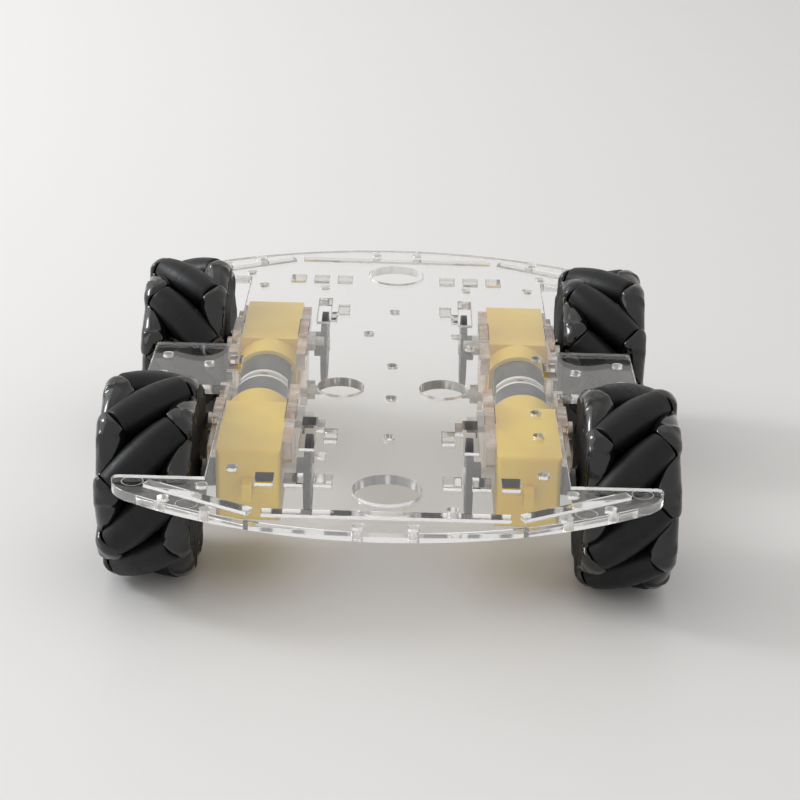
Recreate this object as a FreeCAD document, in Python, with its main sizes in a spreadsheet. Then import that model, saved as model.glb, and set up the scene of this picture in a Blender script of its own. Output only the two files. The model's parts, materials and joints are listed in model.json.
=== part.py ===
import FreeCAD, Part
import math
import os
import Sketcher
from FreeCAD import Placement, Rotation, Vector

# Four wheel robot chassis: a clear acrylic deck with four geared motors hung under it
# in pairs, tail to tail, and four roller (mecanum) wheels.
# Frame: millimetres, origin on the floor under the middle of the deck,
# +Z up, -Y the front end, +X the right side.

ORIGIN = Vector(0, 0, 0)
X_AXIS = Vector(1, 0, 0)
Y_AXIS = Vector(0, 1, 0)
Z_AXIS = Vector(0, 0, 1)

SIZES = {
    # stance
    "wheel_radius": 30.5,
    "track": 139.2,
    "wheelbase": 105.6,
    # deck outline
    "deck_thick": 3.0,
    "deck_half_width": 76.6,
    "deck_half_length": 118.5,
    "deck_arc_radius": 130.0,
    "deck_tip_fillet": 11.0,
    "deck_corner_fillet": 1.8,
    "wheel_bay_x": 51.1,
    "wheel_bay_near": 18.2,
    "wheel_bay_far": 85.7,
    # deck holes
    "bolt_hole_radius": 1.55,
    "cable_hole_radius": 9.6,
    "cable_hole_y": 91.0,
    "grip_hole_radius": 7.1,
    "grip_hole_x": 15.7,
    "grip_hole_y": 16.1,
    "joint_slot_width": 3.1,
    "joint_slot_half": 33.6,
    "joint_slot_y": 106.9,
    "rim_slot_outer_x": 66.6,
    "rim_slot_outer_y": 90.2,
    "rim_slot_inner_x": 37.0,
    "rim_slot_inner_y": 106.4,
    "port_width": 5.0,
    "port_length": 7.0,
    "port_y": 85.4,
    "port_first_x": 18.0,
    "port_pitch": 8.2,
    "wing_window_x": 49.9,
    "wing_window_y": 1.7,
    "wing_window_width": 4.0,
    "wing_window_length": 12.0,
    "ring_mark_radius": 3.1,
    "ring_mark_width": 0.35,
    "ring_mark_depth": 0.2,
    # encoder windows in the deck
    "disc_window_x": 23.8,
    "disc_window_width": 4.3,
    "disc_window_length": 23.2,
    "sensor_notch_x": 19.4,
    "sensor_notch_near": 43.2,
    "sensor_notch_far": 50.5,
    "sensor_slot_x": 17.2,
    "sensor_slot_width": 3.6,
    "sensor_slot_length": 8.4,
    "sensor_slot_y": 54.0,
    # geared motor
    "motor_x": 40.7,
    "motor_gap": 0.35,
    "box_width": 18.8,
    "box_length": 37.0,
    "box_tall": 22.5,
    "box_fillet": 1.6,
    "shaft_to_front": 11.2,
    "collar_length": 11.0,
    "mount_hole_y": 20.3,
    "mount_hole_z": 8.75,
    "mount_hole_radius": 1.6,
    "ear_length": 5.0,
    "ear_thick": 2.8,
    "ear_tall": 5.4,
    "ear_hole_radius": 1.5,
    "peg_radius": 2.0,
    "peg_length": 2.2,
    "peg_y": 11.0,
    "can_radius": 10.05,
    "can_flat": 15.4,
    "can_start": 26.2,
    "can_end": 49.6,
    "cap_thick": 1.8,
    "cap_boss_radius": 3.0,
    "cap_boss_length": 0.7,
    "strap_thick": 0.6,
    "strap_width": 9.0,
    "terminal_width": 2.2,
    "terminal_thick": 0.4,
    "terminal_length": 3.4,
    "terminal_inset": 0.6,
    "terminal_foot_width": 3.2,
    "terminal_foot_length": 0.8,
    # output shaft
    "shaft_radius": 2.7,
    "shaft_flat": 3.7,
    "shaft_reach": 9.4,
    "fit_gap": 0.05,
    # tee brackets and their screws
    "bracket_thick": 3.0,
    "bracket_bar_centre": 35.3,
    "bracket_bar_length": 44.2,
    "bracket_bar_tall": 5.8,
    "bracket_tab_length": 15.0,
    "bracket_stem_width": 12.0,
    "bracket_stem_end": 26.6,
    "screw_radius": 1.5,
    "screw_length": 30.0,
    "screw_head_radius": 2.75,
    "screw_head_tall": 1.9,
    "screw_drive_width": 0.7,
    "screw_drive_depth": 0.8,
    "nut_flats": 5.5,
    "nut_thick": 2.4,
    # encoder disc
    "disc_x": 23.6,
    "disc_radius": 13.0,
    "disc_thick": 2.0,
    "disc_boss_radius": 4.2,
    "disc_boss_end": 27.1,
    "disc_slot_in": 7.6,
    "disc_slot_out": 11.4,
    "disc_slot_width": 1.5,
    # wheel
    "roller_radius": 6.0,
    "roller_half": 12.5,
    "roller_tilt": 45.0,
    "pin_radius": 1.0,
    "pin_half": 15.0,
    "pin_gap": 0.08,
    "hub_half": 13.8,
    "hub_drum_radius": 16.6,
    "hub_face_radius": 20.6,
    "hub_face_thick": 3.2,
    "hub_dish_radius": 13.8,
    "hub_dish_depth": 6.0,
    "hub_boss_radius": 5.6,
    "hub_boss_sink": 1.6,
    "hub_screw_radius": 1.5,
    "hub_sleeve_radius": 5.0,
    "hub_sleeve_length": 5.1,
    "hub_trim_radius": 29.6,
    "hub_trim_fillet": 4.0,
    "lug_radius": 5.0,
    "lug_start": 12.9,
    "lug_thick": 4.2,
    "lug_round": 2.6,
    "web_near": 7.7,
    "web_far": 14.2,
    "web_root": 17.5,
}

ROLLERS_PER_WHEEL = 9
DISC_SLOTS = 20

# Wheel name: side in X, side in Y, direction of the roller slant, angle of the first roller.
WHEELS = {
    "front_left": (-1, -1, -1, 104.9),
    "front_right": (1, -1, -1, 107.3),
    "rear_left": (-1, 1, 1, 99.7),
    "rear_right": (1, 1, 1, 85.5),
}

# Small bolt holes that repeat in all four quarters of the deck.
QUARTER_HOLES = {
    "rim_inner": (51.3, 90.7),
    "rim_outer": (61.0, 99.5),
    "rim_edge": (48.7, 106.4),
    "end_edge": (7.4, 114.2),
    "wing_tip": (71.8, 8.0),
}

# Small bolt holes that occur once, at these places.
SINGLE_HOLES = {
    "front_corner_left": (-43.9, -78.3),
    "front_corner_right": (43.9, -78.3),
    "rear_corner_left": (-46.0, 77.6),
    "rear_corner_right": (46.0, 77.6),
    "wing_root_left": (-58.0, 1.0),
    "wing_root_right": (58.0, 1.0),
    "port_left": (-24.6, 76.5),
    "port_right": (24.6, 76.5),
    "board_one": (-8.2, 31.4),
    "board_two": (20.6, 30.7),
    "board_three": (24.9, 20.2),
    "side_one": (46.2, 12.4),
    "side_two": (43.8, -33.0),
    "side_three": (43.8, -50.4),
    "sensor_screw": (-19.3, -68.8),
    "tail_screw": (18.0, -102.9),
}

# Bolt holes on the centre line, as places along Y.
CENTRE_HOLES = {"centre_one": 52.9, "centre_two": 2.7, "centre_three": -24.0, "centre_four": -54.0}

# Engraved rings near the four tips.
RING_MARKS = {"ring_tip": (70.5, 90.0), "ring_edge": (54.1, 103.6)}


class Size:
    """A number together with the spreadsheet expression that it comes from."""

    def __init__(self, value, text):
        self.value = value
        self.text = text

    def join(self, sign, other, value):
        return Size(value, "({} {} {})".format(self.text, sign, as_size(other).text))

    def __add__(self, other):
        return self.join("+", other, self.value + as_size(other).value)

    def __sub__(self, other):
        return self.join("-", other, self.value - as_size(other).value)

    def __mul__(self, other):
        return self.join("*", other, self.value * as_size(other).value)

    def __truediv__(self, other):
        return self.join("/", other, self.value / as_size(other).value)

    def __neg__(self):
        return self * -1


def as_size(number):
    return number if isinstance(number, Size) else Size(number, "({})".format(number))


def root(number):
    return Size(math.sqrt(number.value), "sqrt({})".format(number.text))


doc = FreeCAD.newDocument("robot_chassis")
sheet = doc.addObject("Spreadsheet::Sheet", "sizes")


def fill_sheet():
    cells = dict(SIZES)
    for name, (x, y) in list(QUARTER_HOLES.items()) + list(SINGLE_HOLES.items()) + list(RING_MARKS.items()):
        cells[name + "_x"] = x
        cells[name + "_y"] = y
    for name, y in CENTRE_HOLES.items():
        cells[name + "_y"] = y
    for name, wheel in WHEELS.items():
        cells[name + "_turn"] = wheel[3]
    for row, (name, number) in enumerate(cells.items(), 1):
        sheet.set("A{}".format(row), name)
        sheet.set("B{}".format(row), str(number))
        sheet.setAlias("B{}".format(row), name)
    doc.recompute()
    return cells


CELLS = fill_sheet()


def size(name):
    return Size(float(CELLS[name]), "sizes." + name)


AXLE_Z = size("wheel_radius")
DECK_TOP = AXLE_Z + size("box_tall") / 2 + size("motor_gap") + size("deck_thick")
DECK_UNDER = DECK_TOP - size("deck_thick")
BOX_HALF = size("box_width") / 2
ROLLER_RING = size("wheel_radius") - size("roller_radius")


def bind(thing, prop, length):
    thing.setExpression(prop, length.text)


def bind_place(thing, x=None, y=None, z=None):
    for axis, length in (("x", x), ("y", y), ("z", z)):
        if length is not None:
            bind(thing, "Placement.Base." + axis, as_size(length))


# ---------------------------------------------------------------- sketches

def new_body(name):
    body = doc.addObject("PartDesign::Body", name)
    body.Label = name
    return body


def new_sketch(body, name, role, lift=None, turn=None):
    """A sketch on one of the body's own planes, raised by lift and turned by turn."""
    sketch = body.newObject("Sketcher::SketchObject", body.Name + "_" + name)
    planes = [plane for plane in body.Origin.OriginFeatures if plane.Role == role]
    sketch.AttachmentSupport = [(planes[0], "")]
    sketch.MapMode = "FlatFace"
    sketch.AttachmentOffset = Placement(ORIGIN, turn if turn else Rotation())
    if lift is not None:
        bind(sketch, "AttachmentOffset.Base.z", lift)
    return sketch


def constrain(sketch, kind, parts, length):
    index = sketch.addConstraint(Sketcher.Constraint(kind, *parts, length.value))
    sketch.setExpression("Constraints[{}]".format(index), length.text)


def pin_point(sketch, geometry, point, x, y):
    """Fixes a point of the geometry at x, y."""
    constrain(sketch, "DistanceX", (-1, 1, geometry, point), as_size(x))
    constrain(sketch, "DistanceY", (-1, 1, geometry, point), as_size(y))


def circle(sketch, x, y, radius):
    x = as_size(x)
    y = as_size(y)
    index = sketch.addGeometry(Part.Circle(Vector(x.value, y.value, 0), Z_AXIS, radius.value), False)
    pin_point(sketch, index, 3, x, y)
    constrain(sketch, "Radius", (index,), radius)


def polygon(sketch, points):
    """A closed outline of straight lines through the points."""
    points = [(as_size(x), as_size(y)) for x, y in points]
    indexes = []
    for i, (x, y) in enumerate(points):
        x2, y2 = points[(i + 1) % len(points)]
        line = Part.LineSegment(Vector(x.value, y.value, 0), Vector(x2.value, y2.value, 0))
        indexes.append(sketch.addGeometry(line, False))
    for i, index in enumerate(indexes):
        sketch.addConstraint(Sketcher.Constraint("Coincident", index, 2, indexes[(i + 1) % len(indexes)], 1))
    for (x, y), index in zip(points, indexes):
        pin_point(sketch, index, 1, x, y)


def box_outline(sketch, x1, x2, y1, y2):
    polygon(sketch, [(x1, y1), (x2, y1), (x2, y2), (x1, y2)])


def centred_box(sketch, x, y, width, length):
    x = as_size(x)
    y = as_size(y)
    box_outline(sketch, x - width / 2, x + width / 2, y - length / 2, y + length / 2)


def bar_outline(sketch, start, stop, width):
    """A straight slot with square ends, along the line from start to stop."""
    x1, y1 = [as_size(place) for place in start]
    x2, y2 = [as_size(place) for place in stop]
    length = root((x2 - x1) * (x2 - x1) + (y2 - y1) * (y2 - y1))
    across_x = (y2 - y1) * width / (length * 2)
    across_y = (x2 - x1) * width / (length * 2)
    polygon(sketch, [(x1 + across_x, y1 - across_y), (x2 + across_x, y2 - across_y),
                     (x2 - across_x, y2 + across_y), (x1 - across_x, y1 + across_y)])


def pad(body, sketch, length, reverse=False, middle=False):
    feature = body.newObject("PartDesign::Pad", sketch.Name + "_pad")
    feature.Profile = sketch
    bind(feature, "Length", length)
    feature.Reversed = reverse
    feature.Midplane = middle
    return feature


def pocket(body, sketch, length, reverse=False, middle=False):
    feature = body.newObject("PartDesign::Pocket", sketch.Name + "_pocket")
    feature.Profile = sketch
    bind(feature, "Length", length)
    feature.Reversed = reverse
    feature.Midplane = middle
    return feature


def turned(body, sketch, kind, axis):
    """A full turn of the sketch about one of its own axes, added (Revolution) or cut (Groove)."""
    feature = body.newObject("PartDesign::" + kind, sketch.Name + "_turned")
    feature.Profile = sketch
    feature.ReferenceAxis = (sketch, [axis])
    feature.Angle = 360
    return feature


def about_axle(body, features, count, name):
    """Repeats the features around the body's X axis."""
    pattern = body.newObject("PartDesign::PolarPattern", body.Name + "_" + name)
    pattern.Originals = features
    axes = [axis for axis in body.Origin.OriginFeatures if axis.Role == "X_Axis"]
    pattern.Axis = (axes[0], [""])
    pattern.Angle = 360
    pattern.Occurrences = count
    body.Tip = pattern
    return pattern


# ---------------------------------------------------------------- primitives

def cylinder(name, radius, length, axis, start):
    """A cylinder along axis, from the point start."""
    solid = doc.addObject("Part::Cylinder", name)
    bind(solid, "Radius", radius)
    bind(solid, "Height", length)
    solid.Placement = Placement(ORIGIN, Rotation(Z_AXIS, axis))
    bind_place(solid, *start)
    return solid


def block(name, x, y, z):
    """A box between the pairs of places x, y and z."""
    solid = doc.addObject("Part::Box", name)
    spans = [(as_size(low), as_size(high)) for low, high in (x, y, z)]
    for prop, (low, high) in zip(("Length", "Width", "Height"), spans):
        bind(solid, prop, high - low)
    bind_place(solid, spans[0][0], spans[1][0], spans[2][0])
    return solid


def fuse(name, solids):
    joined = doc.addObject("Part::MultiFuse", name)
    joined.Shapes = solids
    joined.Refine = True
    return joined


def cut(name, base, tools):
    tool = tools[0] if len(tools) == 1 else fuse(name + "_tools", tools)
    result = doc.addObject("Part::Cut", name)
    result.Base = base
    result.Tool = tool
    return result


def common(name, first, second):
    result = doc.addObject("Part::Common", name)
    result.Base = first
    result.Tool = second
    return result


def group(name, solids):
    """Several separate solids that share one node."""
    result = doc.addObject("Part::Compound", name)
    result.Links = solids
    return result


# ---------------------------------------------------------------- deck

def deck_outline(body):
    sketch = new_sketch(body, "outline", "XY_Plane")
    half_width = size("deck_half_width")
    half_length = size("deck_half_length")
    radius = size("deck_arc_radius")
    middle = half_length.value - radius.value
    drop = math.sqrt(radius.value ** 2 - half_width.value ** 2)
    right_angle = math.pi / 2
    spread = math.asin(half_width.value / radius.value)
    corner_y = middle + drop
    rear = sketch.addGeometry(Part.ArcOfCircle(
        Part.Circle(Vector(0, middle, 0), Z_AXIS, radius.value), right_angle - spread, right_angle + spread), False)
    left = sketch.addGeometry(
        Part.LineSegment(Vector(-half_width.value, corner_y, 0), Vector(-half_width.value, -corner_y, 0)), False)
    front = sketch.addGeometry(Part.ArcOfCircle(
        Part.Circle(Vector(0, -middle, 0), Z_AXIS, radius.value), -right_angle - spread, -right_angle + spread), False)
    right = sketch.addGeometry(
        Part.LineSegment(Vector(half_width.value, -corner_y, 0), Vector(half_width.value, corner_y, 0)), False)
    for first, first_end, second, second_end in ((rear, 2, left, 1), (left, 2, front, 1),
                                                 (front, 2, right, 1), (right, 2, rear, 1)):
        sketch.addConstraint(Sketcher.Constraint("Coincident", first, first_end, second, second_end))
    for arc, place in ((rear, half_length - radius), (front, radius - half_length)):
        constrain(sketch, "Radius", (arc,), radius)
        constrain(sketch, "DistanceY", (-1, 1, arc, 3), place)
        sketch.addConstraint(Sketcher.Constraint("PointOnObject", arc, 3, -2))
    for line, side in ((left, -1), (right, 1)):
        sketch.addConstraint(Sketcher.Constraint("Vertical", line))
        constrain(sketch, "DistanceX", (-1, 1, line, 1), half_width * side)
    return sketch


def upright_edges(feature, x, y):
    """Names of the feature's vertical edges at the four places (+-x, +-y)."""
    names = []
    for number, edge in enumerate(feature.Shape.Edges, 1):
        box = edge.BoundBox
        upright = box.ZLength > 1 and box.XLength < 0.01 and box.YLength < 0.01
        if upright and abs(abs(box.Center.x) - x) < 0.05 and abs(abs(box.Center.y) - y) < 0.05:
            names.append("Edge{}".format(number))
    return names


def round_edges(body, feature, x, y, radius, name):
    doc.recompute()
    rounding = body.newObject("PartDesign::Fillet", body.Name + "_" + name)
    rounding.Base = (feature, upright_edges(feature, x, y))
    bind(rounding, "Radius", radius)
    return rounding


def each_quarter(x, y):
    for side_x in (-1, 1):
        for side_y in (-1, 1):
            yield x * side_x, y * side_y


def deck_bolt_holes(body):
    sketch = new_sketch(body, "bolt_holes", "XY_Plane")
    radius = size("bolt_hole_radius")
    for name in QUARTER_HOLES:
        for x, y in each_quarter(size(name + "_x"), size(name + "_y")):
            circle(sketch, x, y, radius)
    for name in SINGLE_HOLES:
        circle(sketch, size(name + "_x"), size(name + "_y"), radius)
    for name in CENTRE_HOLES:
        circle(sketch, 0, size(name + "_y"), radius)
    return sketch


def deck_large_holes(body):
    sketch = new_sketch(body, "large_holes", "XY_Plane")
    for side in (-1, 1):
        circle(sketch, 0, size("cable_hole_y") * side, size("cable_hole_radius"))
        circle(sketch, size("grip_hole_x") * side, -size("grip_hole_y"), size("grip_hole_radius"))
    return sketch


def deck_slots(body):
    sketch = new_sketch(body, "slots", "XY_Plane")
    width = size("joint_slot_width")
    half = size("joint_slot_half")
    for side_y in (-1, 1):
        y = size("joint_slot_y") * side_y
        bar_outline(sketch, (-half, y), (half, y), width)
        for side_x in (-1, 1):
            inner = (size("rim_slot_inner_x") * side_x, size("rim_slot_inner_y") * side_y)
            outer = (size("rim_slot_outer_x") * side_x, size("rim_slot_outer_y") * side_y)
            bar_outline(sketch, inner, outer, width)
            for step in range(3):
                port_x = (size("port_first_x") + size("port_pitch") * step) * side_x
                centred_box(sketch, port_x, size("port_y") * side_y, size("port_width"), size("port_length"))
    for side_x in (-1, 1):
        centred_box(sketch, size("wing_window_x") * side_x, size("wing_window_y"),
                    size("wing_window_width"), size("wing_window_length"))
    return sketch


def deck_motor_openings(body):
    """Openings over each motor: the bracket tabs, the encoder disc and its sensor."""
    sketch = new_sketch(body, "motor_openings", "XY_Plane")
    gap = size("fit_gap")
    tab_half = size("bracket_tab_length") / 2 + gap
    inner_face = size("motor_x") - BOX_HALF
    outer_face = size("motor_x") + BOX_HALF
    disc_half = size("disc_window_length") / 2
    disc_edge = size("disc_window_x") - size("disc_window_width") / 2
    disc_far = size("disc_window_x") + size("disc_window_width") / 2
    axle = size("wheelbase") / 2
    for side_x in (-1, 1):
        for side_y in (-1, 1):
            near = (size("bracket_bar_centre") - tab_half) * side_y
            far = (size("bracket_bar_centre") + tab_half) * side_y
            box_outline(sketch, (inner_face - size("bracket_thick") - gap) * side_x, (inner_face + gap) * side_x,
                        near, far)
            polygon(sketch, [
                ((size("sensor_notch_x")) * side_x, size("sensor_notch_near") * side_y),
                (disc_edge * side_x, size("sensor_notch_near") * side_y),
                (disc_edge * side_x, (axle - disc_half) * side_y),
                (disc_far * side_x, (axle - disc_half) * side_y),
                (disc_far * side_x, (axle + disc_half) * side_y),
                (disc_edge * side_x, (axle + disc_half) * side_y),
                (disc_edge * side_x, size("sensor_notch_far") * side_y),
                ((size("sensor_notch_x")) * side_x, size("sensor_notch_far") * side_y),
            ])
            centred_box(sketch, size("sensor_slot_x") * side_x, size("sensor_slot_y") * side_y,
                        size("sensor_slot_width"), size("sensor_slot_length"))
            box_outline(sketch, (outer_face - gap) * side_x, (size("wheel_bay_x") + 1) * side_x, near, far)
    return sketch


def deck_wheel_bays(body):
    sketch = new_sketch(body, "wheel_bays", "XY_Plane")
    past_edge = size("deck_half_width") + 5
    for side_x in (-1, 1):
        for side_y in (-1, 1):
            box_outline(sketch, size("wheel_bay_x") * side_x, past_edge * side_x,
                        size("wheel_bay_near") * side_y, size("wheel_bay_far") * side_y)
    return sketch


def deck_ring_marks(body):
    sketch = new_sketch(body, "ring_marks", "XY_Plane", lift=size("deck_thick"))
    for name in RING_MARKS:
        for x, y in each_quarter(size(name + "_x"), size(name + "_y")):
            circle(sketch, x, y, size("ring_mark_radius"))
            circle(sketch, x, y, size("ring_mark_radius") - size("ring_mark_width"))
    return sketch


def make_deck():
    body = new_body("chassis_plate")
    thick = size("deck_thick")
    slab = pad(body, deck_outline(body), thick)
    doc.recompute()
    half_width = size("deck_half_width").value
    corner = upright_corner(slab, half_width)
    tips = round_edges(body, slab, half_width, corner, size("deck_tip_fillet"), "tips")
    bays = pocket(body, deck_wheel_bays(body), thick, reverse=True)
    bays.BaseFeature = tips
    corners = bays
    for place in ("wheel_bay_near", "wheel_bay_far"):
        corners = round_edges(body, corners, half_width, size(place).value, size("deck_corner_fillet"),
                              place + "_corners")
    for sketch in (deck_bolt_holes(body), deck_large_holes(body), deck_slots(body), deck_motor_openings(body)):
        pocket(body, sketch, thick, reverse=True)
    pocket(body, deck_ring_marks(body), size("ring_mark_depth"))
    bind_place(body, z=DECK_UNDER)
    return [body]


def upright_corner(slab, half_width):
    """How far along Y the side edges of the slab reach."""
    return max(abs(vertex.Y) for vertex in slab.Shape.Vertexes if abs(abs(vertex.X) - half_width) < 0.01)


# ---------------------------------------------------------------- motors

def motor_place(solid, side_x, side_y):
    """Puts a motor piece, built around its shaft with its tail at +Y, under the deck."""
    solid.Placement = Placement(ORIGIN, Rotation(Z_AXIS, 0 if side_y < 0 else 180))
    bind_place(solid, size("motor_x") * side_x, size("wheelbase") / 2 * side_y, AXLE_Z)
    return solid


def make_gearbox(name, side_x, side_y):
    label = "gearbox_" + name
    outward = side_x if side_y < 0 else -side_x
    width = (-BOX_HALF, BOX_HALF)
    half_tall = size("box_tall") / 2
    back = size("box_length") - size("shaft_to_front")
    shell = doc.addObject("Part::Fillet", label + "_shell")
    shell.Base = block(label + "_block", width, (-size("shaft_to_front"), back), (-half_tall, half_tall))
    doc.recompute()
    shell.Edges = [(number, size("box_fillet").value, size("box_fillet").value)
                   for number in edges_at_front(shell.Base.Shape)]
    collar = common(
        label + "_collar",
        cylinder(label + "_round", half_tall, size("collar_length"), Y_AXIS, (0, back, 0)),
        block(label + "_flats", width, (back, back + size("collar_length")), (-half_tall, half_tall)))
    ear_x = size("ear_thick") / 2
    ear_z = size("ear_tall") / 2
    front = -size("shaft_to_front")
    ear = block(label + "_ear", (-ear_x, ear_x), (front - size("ear_length"), front + 1), (-ear_z, ear_z))
    peg_x = -(BOX_HALF + size("peg_length")) if outward > 0 else BOX_HALF
    peg = cylinder(label + "_peg", size("peg_radius"), size("peg_length"), X_AXIS, (peg_x, size("peg_y"), 0))
    body = fuse(label + "_body", [shell, collar, ear, peg])

    through = size("box_width") + 2
    cutters = [cylinder(label + "_bearing", size("shaft_radius") + size("fit_gap"), through, X_AXIS,
                        (-BOX_HALF - 1, 0, 0))]
    for place, up in (("upper", 1), ("lower", -1)):
        cutters.append(cylinder(label + "_mount_" + place, size("mount_hole_radius"), through, X_AXIS,
                                (-BOX_HALF - 1, size("mount_hole_y"), size("mount_hole_z") * up)))
    cutters.append(cylinder(label + "_ear_hole", size("ear_hole_radius"), size("ear_thick") + 2, X_AXIS,
                            (-ear_x - 1, front - size("ear_length") / 2, 0)))
    cutters.append(can_shape(label + "_seat", size("fit_gap"), size("can_start"), back + size("collar_length") + 1))
    return motor_place(cut(label, body, cutters), side_x, side_y)


def edges_at_front(shape):
    """Edges of the block's front face, away from the motor."""
    front = shape.BoundBox.YMin
    return [number for number, edge in enumerate(shape.Edges, 1) if edge.BoundBox.YMax < front + 0.01]


def can_shape(name, gap, start, stop):
    """A round bar along Y with two flats facing sideways, like the motor's can."""
    start = as_size(start)
    stop = as_size(stop)
    radius = size("can_radius") + gap
    flat = size("can_flat") / 2 + gap
    return common(name, cylinder(name + "_round", radius, stop - start, Y_AXIS, (0, start, 0)),
                  block(name + "_flats", (-flat, flat), (start, stop), (-radius, radius)))


def make_can(name, side_x, side_y):
    return motor_place(can_shape("can_" + name, Size(0.0, "0"), size("can_start"), size("can_end")), side_x, side_y)


def make_end_cap(name, side_x, side_y):
    label = "end_cap_" + name
    start = size("can_end")
    stop = start + size("cap_thick")
    disc = can_shape(label + "_disc", Size(-0.2, "-0.2"), start, stop)
    boss = cylinder(label + "_boss", size("cap_boss_radius"), size("cap_boss_length"), Y_AXIS, (0, stop, 0))
    return motor_place(fuse(label, [disc, boss]), side_x, side_y)


def make_strap(name, side_x, side_y):
    """The clear band round the motor's tail, along both flats of the can."""
    label = "strap_" + name
    outer = size("can_flat") / 2 + size("strap_thick")
    inner = size("can_flat") / 2
    half = size("strap_width") / 2
    start = size("box_length") - size("shaft_to_front") + size("collar_length") + 0.3
    tail = size("can_end") + size("cap_thick")
    band = block(label + "_band", (-outer, outer), (start, tail + size("strap_thick")), (-half, half))
    hollow = block(label + "_hollow", (-inner, inner), (start - 1, tail), (-half - 1, half + 1))
    window = cylinder(label + "_window", size("cap_boss_radius") + 0.2, Size(6.0, "6"), Y_AXIS, (0, tail - 3, 0))
    return motor_place(cut(label, band, [hollow, window]), side_x, side_y)


def make_terminal(name, side_x, side_y, up):
    """A solder tab with a wider foot, standing on the end cap above or below the strap."""
    label = "terminal_" + name + ("_upper" if up > 0 else "_lower")
    start = size("can_end") + size("cap_thick")
    sheet = (start, start + size("terminal_thick"))
    near = size("can_radius") - size("terminal_length")
    parts = []
    for part, width, length in (("_tab", size("terminal_width"), size("terminal_length") - size("terminal_inset")),
                                ("_foot", size("terminal_foot_width"), size("terminal_foot_length"))):
        span = (near, near + length) if up > 0 else (-(near + length), -near)
        parts.append(block(label + part, (-width / 2, width / 2), sheet, span))
    return motor_place(fuse(label, parts), side_x, side_y)


# ---------------------------------------------------------------- brackets and fasteners

def make_bracket(label, near_x, side_y):
    """A tee of clear acrylic: a bar under the deck, a tab through it and a stem down the gearbox."""
    body = new_body(label)
    sketch = new_sketch(body, "tee", "YZ_Plane")
    bar_low = -size("deck_thick") - size("bracket_bar_tall")
    bar_half = size("bracket_bar_length") / 2
    tab_half = size("bracket_tab_length") / 2
    centre = size("bracket_bar_centre")
    stem = size("wheelbase") / 2 - size("mount_hole_y")
    stem_half = size("bracket_stem_width") / 2
    under = -size("deck_thick")
    polygon(sketch, [
        ((centre - bar_half) * side_y, under),
        ((centre - tab_half) * side_y, under),
        ((centre - tab_half) * side_y, 0),
        ((centre + tab_half) * side_y, 0),
        ((centre + tab_half) * side_y, under),
        ((centre + bar_half) * side_y, under),
        ((centre + bar_half) * side_y, bar_low),
        ((stem + stem_half) * side_y, bar_low),
        ((stem + stem_half) * side_y, -size("bracket_stem_end")),
        ((stem - stem_half) * side_y, -size("bracket_stem_end")),
        ((stem - stem_half) * side_y, bar_low),
        ((centre - bar_half) * side_y, bar_low),
    ])
    pad(body, sketch, size("bracket_thick"))
    holes = new_sketch(body, "screw_holes", "YZ_Plane")
    for up in (-1, 1):
        circle(holes, stem * side_y, AXLE_Z - DECK_TOP + size("mount_hole_z") * up, size("mount_hole_radius"))
    pocket(body, holes, size("bracket_thick"), reverse=True)
    bind_place(body, near_x, 0, DECK_TOP)
    return body


def fastener_places(side_x, side_y):
    """The two screw axes of one motor."""
    y = (size("wheelbase") / 2 - size("mount_hole_y")) * side_y
    for place, up in (("upper", 1), ("lower", -1)):
        yield place, y, AXLE_Z + size("mount_hole_z") * up


def make_screw(label, side_x, y, z):
    """A pan head screw along X, with its head outside the outer bracket."""
    seat = size("motor_x") + BOX_HALF + size("bracket_thick")
    inward = Vector(-side_x, 0, 0)
    outward = Vector(side_x, 0, 0)
    shank = cylinder(label + "_shank", size("screw_radius"), size("screw_length"), inward, (seat * side_x, y, z))
    head = cylinder(label + "_head", size("screw_head_radius"), size("screw_head_tall"), outward,
                    (seat * side_x, y, z))
    top = (seat + size("screw_head_tall")) * side_x
    sink = (seat + size("screw_head_tall") - size("screw_drive_depth")) * side_x
    span = (sink, top) if side_x > 0 else (top, sink)
    half = size("screw_drive_width") / 2
    reach = size("screw_head_radius") * 0.6
    bars = [block(label + "_drive_flat", span, (y - reach, y + reach), (z - half, z + half)),
            block(label + "_drive_tall", span, (y - half, y + half), (z - reach, z + reach))]
    return cut(label, fuse(label + "_solid", [shank, head]), bars)


def make_nut(label, side_x, y, z):
    """A hexagon nut against the inner bracket, with its flats up and down."""
    hexagon = doc.addObject("Part::Prism", label + "_hexagon")
    hexagon.Polygon = 6
    bind(hexagon, "Circumradius", size("nut_flats") / math.sqrt(3))
    bind(hexagon, "Height", size("nut_thick"))
    outside = Vector(-side_x, 0, 0)
    hexagon.Placement = Placement(ORIGIN, Rotation(Z_AXIS, outside) * Rotation(Z_AXIS, 90))
    seat = (size("motor_x") - BOX_HALF - size("bracket_thick")) * side_x
    bind_place(hexagon, seat, y, z)
    bore = cylinder(label + "_bore", size("screw_radius") + size("fit_gap"), size("nut_thick") + 2, outside,
                    (seat + side_x, y, z))
    return cut(label, hexagon, [bore])


# ---------------------------------------------------------------- shaft and encoder disc

def make_shaft(name, side_x, side_y):
    """The gearbox's output shaft: round in its bearings, with two flats on both ends."""
    label = "output_shaft_" + name
    inside = size("motor_x") - BOX_HALF
    length = size("box_width") + size("shaft_reach") * 2
    start = inside - size("shaft_reach")
    radius = size("shaft_radius")
    half_flat = size("shaft_flat") / 2
    round_bar = cylinder(label + "_bar", radius, length, X_AXIS, (start, 0, 0))
    flats = block(label + "_flats", (start, start + length), (-radius, radius), (-half_flat, half_flat))
    journal = cylinder(label + "_journal", radius, size("box_width") + 1, X_AXIS, (inside - 0.5, 0, 0))
    shaft = fuse(label, [common(label + "_keyed", round_bar, flats), journal])
    return wheel_place(shaft, side_x, side_y)


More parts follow.
